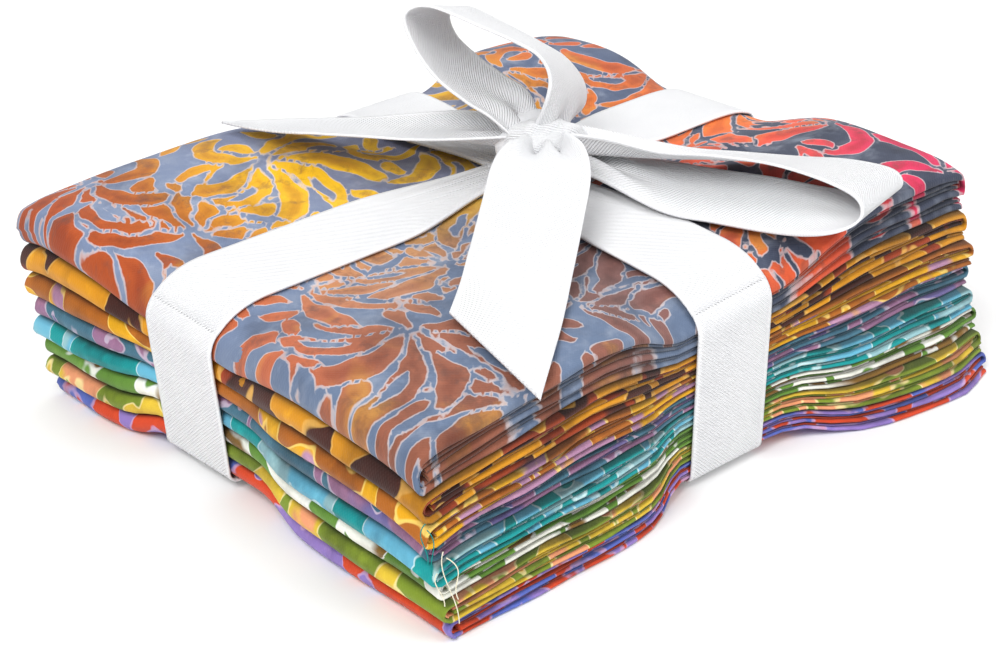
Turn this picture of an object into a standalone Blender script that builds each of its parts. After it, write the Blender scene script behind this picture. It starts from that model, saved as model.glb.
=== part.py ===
"""Fat quarter bundle: eight quarters of printed cotton, each folded in thirds twice,
piled up and tied crosswise with one length of twill ribbon that ends in a bow.

Metres, +Z up. X runs along the long side of the folded quarters, Y along the short
side. The origin is under the middle of the outline, on the surface that it rests on.
"""

import math
from collections import namedtuple

import bmesh
import bpy
from mathutils import Vector

# Cut and folded cloth
CUT_LENGTH = 0.559          # a fat quarter, across half the roll
CUT_WIDTH = 0.457           # a fat quarter, half a yard
THIRDS = 3
HALF_LENGTH = 0.5 * CUT_LENGTH / THIRDS
HALF_WIDTH = 0.5 * CUT_WIDTH / THIRDS
LAYER = 0.0015              # one strip of the last fold, itself three plies of cotton
LAYER_GAP = 0.0005
LAYER_STEP = LAYER + LAYER_GAP
QUARTER_STEP = THIRDS * LAYER_STEP
END_TAPER = 0.45            # how thin a layer gets at its own folded or cut edge
TAPER_RUN = 0.0010          # and over what width
FREE_EDGE_SHORT = 0.0012    # the free end of the bottom layer stops this short of the right fold
INNER_EDGE_SHORT = 0.0006   # and the middle layer this short of the left fold's middle
LEFT_FOLD_STEPS = 6
RIGHT_FOLD_STEPS = 4
CLOTH_ROUGHNESS = 0.9

# The ribbon and the lines that it follows over the pile
RIBBON_WIDTH = 0.0254
RIBBON_THICKNESS = 0.0010
RIBBON_CLEAR = 0.0008       # from the cloth to the ribbon's inner face
CROSS_LIFT = 0.0005         # the second band passes over the first
GATHERED = 0.45             # how much of its width the ribbon keeps where it enters the knot
GATHER_START = 0.0060       # from this far beside the middle of the knot
GATHER_REACH = 0.0400       # it spreads out again over this length
RIBBON_X = 0.0140           # where the band along Y crosses the middle
RIBBON_Y = 0.0095           # where the band along X crosses the middle
SLANT_X = 0.08              # the band along Y drifts in X as it runs
SLANT_Y = -0.04
SLANT_FADE_X = 0.055        # the cloth beside a band drifts with it, less and less over this width
SLANT_FADE_Y = 0.045
RIBBON_CORNER = 0.0020      # the radius that the ribbon turns over the pile's edge
CORNER_STEPS = 3
LEG_STEPS = 8
NEAR_EDGE = (0.0180, 0.0130, 0.0085, 0.0045)  # places where the ribbon bends, in from the pile's edge
BETWEEN_BENDS = 0.0010

# The tied pile
CORNER_HEIGHT = {"front_left": 0.0450, "front_right": 0.0575, "back_left": 0.0530, "back_right": 0.0535}
BULGE = 0.0030              # the quadrants stand above the line between the corners
TOP_PINCH = 0.0050          # the ribbon presses the top down
BASE_PINCH = 0.0032         # and the pile sinks past the ribbon under it
SHOULDER = 0.0180           # the ribbon rounds the edge of the pile over this width
EDGE_SOFTNESS = 0.0100
EDGE_DROP = 0.0014
PLATEAU = 0.0160            # half the width that the ribbon holds flat
REACH = 0.0165              # how far beside the ribbon the cloth is drawn down
FULL_SINK = 0.25            # the pile sinks past the ribbon where the bands press harder than this
EDGE_POWER = 3              # how late towards an edge the cloth starts to be drawn in
RIM = 0.0120                # only this much of a quarter's edge stands proud or short
LEAN = (0.0017, -0.0026)    # the bottom of the pile sits this far out from its middle
FLARE = 0.0085              # the lower quarters slide out this much further at the front right
FLARE_FROM = 0.0200         # from here on in X,
FLARE_RUN = 0.0600          # growing over this width,
FLARE_CORNER = 0.0780       # and from here on falling back to half as much
FLARE_CORNER_RUN = 0.0180
TOP_LOFT = 0.12             # the share of the height that the loose top quarter takes beyond its own
LOFT_POWER = 8
CENTRING = Vector((-0.0005, 0.0042, 0.0))  # puts the origin under the middle of the whole outline

# Each side of the pile: how far the ribbon draws it in at its foot and at its top, and
# how far it rounds its top edge down
Side = namedtuple("Side", "foot top drop")
LEFT_SIDE = Side(0.0048, 0.0046, 0.0052)
RIGHT_SIDE = Side(0.0035, 0.0030, 0.0016)
FRONT_SIDE = Side(0.0078, 0.0022, 0.0046)
BACK_SIDE = Side(0.0040, 0.0035, 0.0016)

# One row for each quarter, from the bottom up: how far it stands proud on each side
Quarter = namedtuple("Quarter", "left right front back colour")
QUARTERS = (
    Quarter(-0.0008, 0.0012, 0.0004, -0.0006, (0.62, 0.28, 0.40)),
    Quarter(0.0006, 0.0004, 0.0010, 0.0006, (0.86, 0.62, 0.30)),
    Quarter(-0.0004, 0.0013, -0.0004, 0.0002, (0.55, 0.62, 0.45)),
    Quarter(0.0012, -0.0006, 0.0008, 0.0010, (0.30, 0.62, 0.66)),
    Quarter(0.0002, 0.0008, -0.0008, -0.0006, (0.52, 0.42, 0.55)),
    Quarter(0.0010, 0.0012, 0.0010, 0.0004, (0.88, 0.62, 0.16)),
    Quarter(0.0004, 0.0002, 0.0004, 0.0010, (0.32, 0.18, 0.12)),
    Quarter(0.0000, -0.0004, -0.0002, 0.0000, (0.45, 0.38, 0.42)),
)
PILE_HEIGHT = len(QUARTERS) * QUARTER_STEP - LAYER_GAP

# Grid lines of the cloth: beside the ribbon, in the quadrants and near the edges
X_LINES = (-HALF_LENGTH + 0.0046, -HALF_LENGTH + RIM, -0.0240, RIBBON_X - PLATEAU, RIBBON_X + PLATEAU, 0.0520,
           HALF_LENGTH - RIM)
Y_LINES = (-HALF_WIDTH, -HALF_WIDTH + 0.0025, -HALF_WIDTH + 0.0065, -HALF_WIDTH + RIM, -0.0290, RIBBON_Y - PLATEAU,
           RIBBON_Y + PLATEAU, 0.0480, HALF_WIDTH - RIM, HALF_WIDTH - 0.0025, HALF_WIDTH)

# The bow. Each row is a place on the ribbon's middle line, the way its width points
# (heading round Z and rise, in degrees), and how much of its full width is spread.
Station = namedtuple("Station", "x y z heading rise spread")
BIG_LOOP = (
    Station(0.0140, 0.0070, 0.0610, -168, 0, 0.55),
    Station(0.0135, 0.0140, 0.0680, -164, 0, 0.85),
    Station(0.0112, 0.0208, 0.0710, -158, 3, 1.0),
    Station(0.0090, 0.0290, 0.0755, -159, 7, 1.0),
    Station(0.0080, 0.0360, 0.0815, -158, 12, 1.0),
    Station(0.0085, 0.0393, 0.0880, -160, 16, 1.0),
    Station(0.0120, 0.0345, 0.0905, -157, 18, 1.0),
    Station(0.0179, 0.0228, 0.0870, -150, 18, 1.0),
    Station(0.0216, 0.0144, 0.0842, -151, 20, 1.0),
    Station(0.0248, 0.0090, 0.0807, -152, 21, 1.0),
    Station(0.0257, 0.0046, 0.0756, -157, 23, 1.0),
    Station(0.0239, 0.0027, 0.0700, -160, 23, 1.0),
    Station(0.0200, 0.0040, 0.0630, -161, 15, 0.7),
)
LOW_LOOP = (
    Station(0.0200, 0.0000, 0.0585, -150, 5, 0.55),
    Station(0.0245, -0.0090, 0.0575, -147, 4, 0.7),
    Station(0.0277, -0.0268, 0.0560, -138, -6, 1.0),
    Station(0.0325, -0.0404, 0.0559, -137, -8, 1.0),
    Station(0.0367, -0.0563, 0.0569, -134, -9, 1.0),
    Station(0.0401, -0.0688, 0.0583, -144, -3, 1.0),
    Station(0.0453, -0.0768, 0.0592, -157, 4, 1.0),
    Station(0.0506, -0.0783, 0.0609, -164, 4, 1.0),
    Station(0.0532, -0.0740, 0.0633, -163, 5, 1.0),
    Station(0.0513, -0.0637, 0.0640, -157, 10, 1.0),
    Station(0.0466, -0.0512, 0.0638, -158, 17, 1.0),
    Station(0.0403, -0.0376, 0.0627, -158, 19, 1.0),
    Station(0.0340, -0.0250, 0.0612, -155, 18, 1.0),
    Station(0.0270, -0.0110, 0.0612, -149, 14, 0.7),
    Station(0.0220, -0.0020, 0.0615, -149, 8, 0.6),
)
FRONT_TAIL = (
    Station(0.0200, 0.0080, 0.0600, -52, 5, 0.45),
    Station(0.0150, 0.0015, 0.0612, -52, 4, 0.45),
    Station(0.0090, -0.0045, 0.0642, -54, 3, 0.55),
    Station(0.0030, -0.0105, 0.0662, -56, 2, 0.8),
    Station(-0.0045, -0.0170, 0.0652, -58, 1, 1.0),
    Station(-0.0160, -0.0260, 0.0610, -58, 0, 1.0),
    Station(-0.0303, -0.0373, 0.0572, -58, -1, 1.0),
    Station(-0.0449, -0.0490, 0.0547, -58, -3, 1.0),
    Station(-0.0615, -0.0616, 0.0527, -58, -5, 1.0),
)
BACK_TAIL = (
    Station(0.0140, 0.0090, 0.0615, -140, 3, 0.6),
    Station(0.0070, 0.0200, 0.0618, -140, 2, 0.9),
    Station(-0.0020, 0.0310, 0.0610, -140, 6, 1.0),
    Station(-0.0110, 0.0430, 0.0600, -140, 11, 1.0),
    Station(-0.0214, 0.0542, 0.0599, -140, 14, 1.0),
    Station(-0.0303, 0.0615, 0.0603, -140, 16, 1.0),
)
TAIL_CUT = 0.0130           # half the length of a tail's slanted cut
CUT_FROM = 0.6              # the share of a tail where its edges start to part
STEPS_PER_STATION = 3
KNOT_CENTRE = (0.0165, 0.0050, 0.0597)
KNOT_HALF_SIZE = (0.0118, 0.0112, 0.0075)
KNOT_LOBES = 3
KNOT_LOBE_DEPTH = 0.10
KNOT_ROUND = 18
KNOT_HIGH = 10
RIBBON_COLOUR = (0.93, 0.93, 0.94)
RIBBON_ROUGHNESS = 0.6


def clear_scene():
    for item in list(bpy.data.objects):
        bpy.data.objects.remove(item, do_unlink=True)


def ease(t):
    """Rises smoothly from 0 to 1."""
    t = min(max(t, 0.0), 1.0)
    return t * t * (3.0 - 2.0 * t)


def beside(distance):
    """1 under the ribbon, falling away on both sides of it."""
    away = max(0.0, abs(distance) - PLATEAU)
    return math.exp(-(away / REACH) ** 2)


def shoulder(position, half, width):
    """0 on the flat of the pile, rising to 1 at its edge."""
    return min(max((abs(position) - (half - width)) / width, 0.0), 1.2) ** 2


def pull(x, y):
    """How hard the two bands press at a place."""
    return 1.0 - (1.0 - beside(y - RIBBON_Y)) * (1.0 - beside(x - RIBBON_X))


def sides_at(x, y):
    return (RIGHT_SIDE if x > 0.0 else LEFT_SIDE, BACK_SIDE if y > 0.0 else FRONT_SIDE)


def edge_softness(x, y):
    across = shoulder(x, HALF_LENGTH, EDGE_SOFTNESS)
    return EDGE_DROP * (across + shoulder(y, HALF_WIDTH, EDGE_SOFTNESS))


def shoulder_drop(x, y):
    side_x, side_y = sides_at(x, y)
    over_x = side_x.drop * beside(y - RIBBON_Y) * shoulder(x, HALF_LENGTH, SHOULDER)
    return over_x + side_y.drop * beside(x - RIBBON_X) * shoulder(y, HALF_WIDTH, SHOULDER)


def top_height(x, y):
    u = 0.5 + 0.5 * x / HALF_LENGTH
    v = 0.5 + 0.5 * y / HALF_WIDTH
    front = CORNER_HEIGHT["front_left"] * (1.0 - u) + CORNER_HEIGHT["front_right"] * u
    back = CORNER_HEIGHT["back_left"] * (1.0 - u) + CORNER_HEIGHT["back_right"] * u
    corner = (min(1.0, abs(x / HALF_LENGTH)) * min(1.0, abs(y / HALF_WIDTH))) ** EDGE_POWER
    height = front * (1.0 - v) + back * v + BULGE * (1.0 - corner)
    return height - TOP_PINCH * pull(x, y) - edge_softness(x, y)


def base_height(x, y):
    return BASE_PINCH * ease((pull(x, y) - FULL_SINK) / (1.0 - FULL_SINK))


def settle(x, y, z):
    """Moves a place in the square, loose pile to where the tied ribbon holds it."""
    top = top_height(x, y)
    base = base_height(x, y)
    level = min(max(z / PILE_HEIGHT, 0.0), 1.0)
    outside = z - level * PILE_HEIGHT
    share = (1.0 - TOP_LOFT) * level + TOP_LOFT * level ** LOFT_POWER
    height = base + (top - base) * share + outside - shoulder_drop(x, y) * level ** EDGE_POWER
    side_x, side_y = sides_at(x, y)
    waist_x = side_x.foot + (side_x.top - side_x.foot) * level
    waist_y = side_y.foot + (side_y.top - side_y.foot) * level
    draw_x = beside(y - RIBBON_Y) * waist_x * abs(x / HALF_LENGTH) ** EDGE_POWER
    draw_y = beside(x - RIBBON_X) * waist_y * abs(y / HALF_WIDTH) ** EDGE_POWER
    at_corner = ease((x - FLARE_CORNER) / FLARE_CORNER_RUN)
    slid = ease((x - FLARE_FROM) / FLARE_RUN) * (1.0 - 0.5 * at_corner)
    flare = FLARE * (1.0 - level) ** 2 * slid * min(max(-y / HALF_WIDTH, 0.0), 1.0)
    slant_x = SLANT_X * y * (1.0 - ease((abs(x - RIBBON_X) - PLATEAU) / SLANT_FADE_X))
    slant_y = SLANT_Y * x * (1.0 - ease((abs(y - RIBBON_Y) - PLATEAU) / SLANT_FADE_Y))
    lean = 1.0 - 2.0 * level
    return Vector((
        x - math.copysign(draw_x, x) + slant_x + LEAN[0] * lean,
        y - math.copysign(draw_y, y) + slant_y + LEAN[1] * lean - flare,
        height,
    ))


def letter_fold(bottom):
    """The last fold seen from the side: places, outward directions and thickness shares.

    It starts at the free end of the bottom layer, turns up and over in the full-height
    fold on the left, runs along the top layer, and folds back on the right to end as
    the middle layer, inside the left fold.
    """
    low = bottom + 0.5 * LAYER
    middle = low + LAYER_STEP
    high = middle + LAYER_STEP
    left = -HALF_LENGTH + LAYER_STEP + 0.5 * LAYER
    right = HALF_LENGTH - 0.5 * LAYER_STEP - 0.5 * LAYER
    free_end = HALF_LENGTH - FREE_EDGE_SHORT
    inner_end = left + INNER_EDGE_SHORT
    path = [(free_end, low, 0.0, -1.0, END_TAPER), (free_end - TAPER_RUN, low, 0.0, -1.0, 1.0)]
    path += [(x, low, 0.0, -1.0, 1.0) for x in reversed(X_LINES)]
    path += arc(left, middle, LAYER_STEP, 270, 90, LEFT_FOLD_STEPS)
    path += [(x, high, 0.0, 1.0, 1.0) for x in X_LINES]
    path += arc(right, 0.5 * (middle + high), 0.5 * LAYER_STEP, 90, -90, RIGHT_FOLD_STEPS)
    path += [(x, middle, 0.0, -1.0, 1.0) for x in reversed(X_LINES)]
    path += [(inner_end + TAPER_RUN, middle, 0.0, -1.0, 1.0), (inner_end, middle, 0.0, -1.0, END_TAPER)]
    return path


def arc(x, z, radius, start, stop, steps):
    """Points round a fold, with the direction away from its middle."""
    points = []
    for step in range(steps + 1):
        angle = math.radians(start + (stop - start) * step / steps)
        out = (math.cos(angle), math.sin(angle))
        points.append((x + radius * out[0], z + radius * out[1], out[0], out[1], 1.0))
    return points


def stand_proud(x, y, quarter):
    """Spreads a quarter to its own uneven edges, except where the ribbon holds them."""
    side_x = quarter.right if x > 0 else -quarter.left
    side_y = quarter.back if y > 0 else -quarter.front
    x_move = side_x * rim_share(x, HALF_LENGTH) * (1.0 - beside(y - RIBBON_Y))
    y_move = side_y * rim_share(y, HALF_WIDTH) * (1.0 - beside(x - RIBBON_X))
    return x + x_move, y + y_move


def rim_share(position, half):
    """0 over the middle of a quarter, rising to 1 at its edge."""
    return max(0.0, 1.0 - (half - abs(position)) / RIM)


def folded_quarter(index, quarter):
    """One fat quarter: a thick sheet that follows its fold, settled into the pile."""
    path = letter_fold(index * QUARTER_STEP)
    mesh = bmesh.new()
    skins = ([], [])
    for line, y in enumerate(Y_LINES):
        edge_share = END_TAPER if line in (0, len(Y_LINES) - 1) else 1.0
        for skin, side in zip(skins, (1.0, -1.0)):
            row = []
            for x, z, out_x, out_z, share in path:
                half = side * 0.5 * LAYER * min(share, edge_share)
                proud_x, proud_y = stand_proud(x + half * out_x, y, quarter)
                row.append(mesh.verts.new(settle(proud_x, proud_y, z + half * out_z)))
            skin.append(row)
    outer, inner = skins
    for j in range(len(Y_LINES) - 1):
        y = 0.5 * (Y_LINES[j] + Y_LINES[j + 1])
        for i in range(len(path) - 1):
            for skin in skins:
                cell = (skin[j][i], skin[j][i + 1], skin[j + 1][i + 1], skin[j + 1][i])
                crease(mesh, cell, path[i][0], path[i + 1][0], y)
        for i in (0, len(path) - 1):
            mesh.faces.new((outer[j][i], outer[j + 1][i], inner[j + 1][i], inner[j][i]))
    for j in (0, len(Y_LINES) - 1):
        for i in range(len(path) - 1):
            mesh.faces.new((outer[j][i], inner[j][i], inner[j][i + 1], outer[j][i + 1]))
    return finish_object(mesh, "fat_quarter_%d" % (index + 1), quarter.colour, CLOTH_ROUGHNESS)


def crease(mesh, cell, x_here, x_next, y):
    """Splits a cell of cloth in two, the same way in every layer, so that none meets the next."""
    outward = (0.5 * (x_here + x_next) - RIBBON_X) * (y - RIBBON_Y) > 0.0
    a, b, c, d = cell
    if outward == (x_next > x_here):
        mesh.faces.new((a, b, c))
        mesh.faces.new((a, c, d))
    else:
        mesh.faces.new((a, b, d))
        mesh.faces.new((b, c, d))


def finish_object(mesh, name, colour, roughness):
    bmesh.ops.recalc_face_normals(mesh, faces=mesh.faces)
    data = bpy.data.meshes.new(name)
    bmesh.ops.translate(mesh, verts=mesh.verts, vec=CENTRING)
    mesh.to_mesh(data)
    mesh.free()
    item = bpy.data.objects.new(name, data)
    bpy.context.scene.collection.objects.link(item)
    data.materials.append(plain_material(name, colour, roughness))
    return item


def plain_material(name, colour, roughness):
    material = bpy.data.materials.new(name)
    material.use_nodes = True
    shader = material.node_tree.nodes["Principled BSDF"]
    shader.inputs["Base Color"].default_value = (*colour, 1.0)
    shader.inputs["Roughness"].default_value = roughness
    shader.inputs["Metallic"].default_value = 0.0
    return material


def sweep(mesh, rings, closed):
    """Skins a run of four-sided rings, as a loop or with its two ends closed."""
    count = len(rings)
    last = count if closed else count - 1
    for k in range(last):
        here, there = rings[k], rings[(k + 1) % count]
        for i in range(4):
            mesh.faces.new((here[i], here[(i + 1) % 4], there[(i + 1) % 4], there[i]))
    if not closed:
        mesh.faces.new(rings[0])
        mesh.faces.new(reversed(rings[-1]))


def turn(x, z, start, stop):
    """The ribbon's turn over one edge of the pile."""
    return [row[:4] for row in arc(x, z, RIBBON_CORNER, start, stop, CORNER_STEPS)]


def round_the_pile(half, lines, lift):
    """The ribbon's way round the loose pile, seen along one band: places and outward directions."""
    inner = RIBBON_CLEAR + lift
    side = half + RIBBON_CLEAR
    low, high = -inner, PILE_HEIGHT + inner
    near_edge = [half - place for place in NEAR_EDGE]
    between = [p for p in lines if abs(p) < near_edge[0] - BETWEEN_BENDS]
    flat = sorted([-p for p in near_edge] + between + near_edge)
    path = [(p, high, 0.0, 1.0) for p in flat]
    path += turn(side - RIBBON_CORNER, high - RIBBON_CORNER, 90, 0)
    path += [(side, high + (low - high) * k / LEG_STEPS, 1.0, 0.0) for k in range(1, LEG_STEPS)]
    path += turn(side - RIBBON_CORNER, low + RIBBON_CORNER, 0, -90)
    path += [(p, low, 0.0, -1.0) for p in reversed(flat)]
    path += turn(-side + RIBBON_CORNER, low + RIBBON_CORNER, 270, 180)
    path += [(-side, low + (high - low) * k / LEG_STEPS, -1.0, 0.0) for k in range(1, LEG_STEPS)]
    path += turn(-side + RIBBON_CORNER, high - RIBBON_CORNER, 180, 90)
    return path


def width_share(place, height, knot_place):
    """How much of its width the ribbon spreads: all of it, but for the top near the knot."""
    near = 1.0 - ease((abs(place - knot_place) - GATHER_START) / GATHER_REACH)
    on_top = 1.0 if height > PILE_HEIGHT else 0.0
    return 1.0 - (1.0 - GATHERED) * near * on_top


def straight_down(height, along_x):
    """How far the ribbon shifts sideways so that it hangs straight, though the pile leans."""
    level = min(max(height / PILE_HEIGHT, 0.0), 1.0)
    return 2.0 * (LEAN[1] if along_x else LEAN[0]) * (level - 1.0)


def band(name, along_x):
    """One band of the crosswise wrap."""
    if along_x:
        path = round_the_pile(HALF_LENGTH, X_LINES, 0.0)
        centre, knot_place = RIBBON_Y, RIBBON_X
    else:
        path = round_the_pile(HALF_WIDTH, Y_LINES, CROSS_LIFT)
        centre, knot_place = RIBBON_X, RIBBON_Y
    mesh = bmesh.new()
    rings = []
    for p, z, out_p, out_z in path:
        width = RIBBON_WIDTH * width_share(p, z, knot_place)
        ring = []
        for side, depth in ((-0.5, 0.0), (0.5, 0.0), (0.5, 1.0), (-0.5, 1.0)):
            across = centre + side * width + straight_down(z, along_x)
            place = p + depth * RIBBON_THICKNESS * out_p
            height = z + depth * RIBBON_THICKNESS * out_z
            point = settle(place, across, height) if along_x else settle(across, place, height)
            ring.append(mesh.verts.new(point))
        rings.append(ring)
    sweep(mesh, rings, True)
    return finish_object(mesh, name, RIBBON_COLOUR, RIBBON_ROUGHNESS)


def smooth_stations(rows):
    """A smooth curve through the rows of a table."""
    padded = [rows[0]] + list(rows) + [rows[-1]]
    stations = []
    for k in range(1, len(padded) - 2):
        for step in range(STEPS_PER_STATION):
            stations.append(blend_rows(padded[k - 1:k + 3], step / STEPS_PER_STATION))
    return stations + [rows[-1]]


def blend_rows(four, t):
    values = []
    for a, b, c, d in zip(*four):
        cubic = (3 * b - 3 * c + d - a) * t ** 3
        values.append(0.5 * (2 * b + (c - a) * t + (2 * a - 5 * b + 4 * c - d) * t * t + cubic))
    return Station(*values)


def bow_strip(name, rows, cut=0.0):
    """A stretch of the bow, swept along its stations; cut slants the free end."""
    stations = smooth_stations(rows)
    middles = [Vector((s.x, s.y, s.z)) for s in stations]
    mesh = bmesh.new()
    rings = []
    for k, station in enumerate(stations):
        heading, rise = math.radians(station.heading), math.radians(station.rise)
        across = Vector((math.cos(rise) * math.cos(heading), math.cos(rise) * math.sin(heading), math.sin(rise)))
        along = (middles[min(k + 1, len(middles) - 1)] - middles[max(k - 1, 0)]).normalized()
        up = along.cross(across).normalized()
        slant = cut * ease((k / (len(stations) - 1) - CUT_FROM) / (1.0 - CUT_FROM))
        ring = []
        for side, depth in ((-0.5, -0.5), (0.5, -0.5), (0.5, 0.5), (-0.5, 0.5)):
            point = middles[k] + across * (side * RIBBON_WIDTH * station.spread)
            point += along * (2.0 * side * slant) + up * (depth * RIBBON_THICKNESS)
            ring.append(mesh.verts.new(point))
        rings.append(ring)
    sweep(mesh, rings, False)
    return finish_object(mesh, name, RIBBON_COLOUR, RIBBON_ROUGHNESS)


def knot(name):
    mesh = bmesh.new()
    bmesh.ops.create_uvsphere(mesh, u_segments=KNOT_ROUND, v_segments=KNOT_HIGH, radius=1.0)
    for vert in mesh.verts:
        flat = 1.0 - KNOT_LOBE_DEPTH * math.cos(KNOT_LOBES * math.atan2(vert.co.y, vert.co.x))
        vert.co = Vector((vert.co.x * flat, vert.co.y * flat, vert.co.z))
        vert.co = Vector(c + s * v for c, s, v in zip(KNOT_CENTRE, KNOT_HALF_SIZE, vert.co))
    return finish_object(mesh, name, RIBBON_COLOUR, RIBBON_ROUGHNESS)


def tied_ribbon():
    """The whole ribbon as one solid: two bands, the knot, two loops and two free ends."""
    ribbon = band("ribbon", True)
    shapes = (
        band("band_along_y", False),
        knot("knot"),
        bow_strip("big_loop", BIG_LOOP),
        bow_strip("low_loop", LOW_LOOP),
        bow_strip("front_tail", FRONT_TAIL, TAIL_CUT),
        bow_strip("back_tail", BACK_TAIL, -TAIL_CUT),
    )
    for shape in shapes:
        union = ribbon.modifiers.new(shape.name, "BOOLEAN")
        union.operation = "UNION"
        union.object = shape
        shape.hide_render = True
        shape.display_type = "WIRE"
    return ribbon


def build():
    clear_scene()
    for index, quarter in enumerate(QUARTERS):
        folded_quarter(index, quarter)
    tied_ribbon()


build()
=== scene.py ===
# %% [markdown]
# # A tied bundle of fat quarters
#
# Eight pieces of batik cotton lie in a pile, each folded in thirds one way and then in thirds
# the other way. One length of white twill ribbon goes round the pile both ways and ends in a
# bow. The solids of the model hold the true sizes. This script dresses them: it folds each
# quarter again as thin cloth, prints it, and ties the ribbon in detail.

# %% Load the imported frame
import math
from collections import namedtuple

import bmesh
import bpy
import numpy as np
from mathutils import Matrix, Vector


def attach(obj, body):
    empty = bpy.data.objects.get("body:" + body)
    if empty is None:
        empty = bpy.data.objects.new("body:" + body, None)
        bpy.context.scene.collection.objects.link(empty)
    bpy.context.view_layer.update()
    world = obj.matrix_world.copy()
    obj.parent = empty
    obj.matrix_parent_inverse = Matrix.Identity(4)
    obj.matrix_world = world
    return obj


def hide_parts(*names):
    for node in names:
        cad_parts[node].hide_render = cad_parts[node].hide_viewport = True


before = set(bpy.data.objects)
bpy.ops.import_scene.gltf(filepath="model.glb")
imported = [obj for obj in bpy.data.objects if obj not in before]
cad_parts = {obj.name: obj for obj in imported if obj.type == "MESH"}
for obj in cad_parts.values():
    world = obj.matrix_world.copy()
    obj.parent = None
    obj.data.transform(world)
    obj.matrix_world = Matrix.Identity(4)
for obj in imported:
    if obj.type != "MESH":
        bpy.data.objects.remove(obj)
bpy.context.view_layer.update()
print("nodes:", ", ".join(sorted(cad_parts)))

# %% [markdown]
# ## The sizes that everything follows
#
# A fat quarter is half a yard by half the roll. The pile's shape is the same rule that the
# solids were made with, so the thin cloth here lies exactly where each solid lies.

# %% Sizes of the cloth, the pile and the ribbon
CUT_LENGTH = 0.559
CUT_WIDTH = 0.457
THIRDS = 3
HALF_LENGTH = 0.5 * CUT_LENGTH / THIRDS
HALF_WIDTH = 0.5 * CUT_WIDTH / THIRDS
STRIP = 0.0015
STRIP_STEP = 0.0020
STRIP_GAP = STRIP_STEP - STRIP
QUARTER_STEP = THIRDS * STRIP_STEP
PLY = 0.00038
PLY_STEP = 0.00060

RIBBON_WIDTH = 0.0254
RIBBON_THICKNESS = 0.0006
RIBBON_CLEAR = 0.0010
CROSS_LIFT = 0.0005
RIBBON_X = 0.0140
RIBBON_Y = 0.0095
SLANT_X = 0.08
SLANT_Y = -0.04
SLANT_FADE_X = 0.055
SLANT_FADE_Y = 0.045

CORNER_HEIGHT = {"front_left": 0.0450, "front_right": 0.0575, "back_left": 0.0530, "back_right": 0.0535}
BULGE = 0.0030
TOP_PINCH = 0.0050
BASE_PINCH = 0.0032
SHOULDER = 0.0180
EDGE_SOFTNESS = 0.0100
EDGE_DROP = 0.0014
PLATEAU = 0.0160
REACH = 0.0165
FULL_SINK = 0.25
EDGE_POWER = 3
RIM = 0.0120
LEAN = (0.0017, -0.0026)
FLARE = 0.0085
FLARE_FROM, FLARE_RUN = 0.020, 0.060
FLARE_CORNER, FLARE_CORNER_RUN = 0.078, 0.018
TOP_LOFT = 0.12
LOFT_POWER = 8
CENTRING = np.array((-0.0005, 0.0042, 0.0))
Side = namedtuple("Side", "foot top drop")
LEFT_SIDE = Side(0.0048, 0.0046, 0.0052)
RIGHT_SIDE = Side(0.0035, 0.0030, 0.0016)
FRONT_SIDE = Side(0.0078, 0.0022, 0.0046)
BACK_SIDE = Side(0.0040, 0.0035, 0.0016)
PILE_QUARTERS = 8
PILE_HEIGHT = PILE_QUARTERS * QUARTER_STEP - STRIP_GAP
print("folded quarter: %.0f x %.0f mm" % (2000 * HALF_LENGTH, 2000 * HALF_WIDTH))

# %% [markdown]
# ## How the tied pile settles
#
# Cloth folded square and loose is easy to describe. The ribbon then presses the pile down in
# a cross, rounds its edges and draws in its sides. So each piece is first made in the square
# pile and then moved by one rule, `settle`. The rule works on whole arrays of points at once.


# %% The rule that takes a place in the loose pile to its place under the ribbon
def ease(t):
    t = np.clip(t, 0.0, 1.0)
    return t * t * (3.0 - 2.0 * t)


def beside(distance):
    away = np.maximum(0.0, np.abs(distance) - PLATEAU)
    return np.exp(-(away / REACH) ** 2)


def shoulder(position, half, width):
    return np.clip((np.abs(position) - (half - width)) / width, 0.0, 1.2) ** 2


def pull(x, y):
    return 1.0 - (1.0 - beside(y - RIBBON_Y)) * (1.0 - beside(x - RIBBON_X))


def of_side(x, y, measure):
    along_x = np.where(np.asarray(x) > 0.0, getattr(RIGHT_SIDE, measure), getattr(LEFT_SIDE, measure))
    along_y = np.where(np.asarray(y) > 0.0, getattr(BACK_SIDE, measure), getattr(FRONT_SIDE, measure))
    return along_x, along_y


def shoulder_drop(x, y):
    drop_x, drop_y = of_side(x, y, "drop")
    over_x = drop_x * beside(y - RIBBON_Y) * shoulder(x, HALF_LENGTH, SHOULDER)
    return over_x + drop_y * beside(x - RIBBON_X) * shoulder(y, HALF_WIDTH, SHOULDER)


def top_height(x, y):
    u = 0.5 + 0.5 * x / HALF_LENGTH
    v = 0.5 + 0.5 * y / HALF_WIDTH
    front = CORNER_HEIGHT["front_left"] * (1.0 - u) + CORNER_HEIGHT["front_right"] * u
    back = CORNER_HEIGHT["back_left"] * (1.0 - u) + CORNER_HEIGHT["back_right"] * u
    along, across = np.minimum(1.0, np.abs(x / HALF_LENGTH)), np.minimum(1.0, np.abs(y / HALF_WIDTH))
    corner = (along * across) ** EDGE_POWER
    height = front * (1.0 - v) + back * v + BULGE * (1.0 - corner)
    height = height - TOP_PINCH * pull(x, y)
    softness = shoulder(x, HALF_LENGTH, EDGE_SOFTNESS) + shoulder(y, HALF_WIDTH, EDGE_SOFTNESS)
    return height - EDGE_DROP * softness


def base_height(x, y):
    return BASE_PINCH * ease((pull(x, y) - FULL_SINK) / (1.0 - FULL_SINK))


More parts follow.
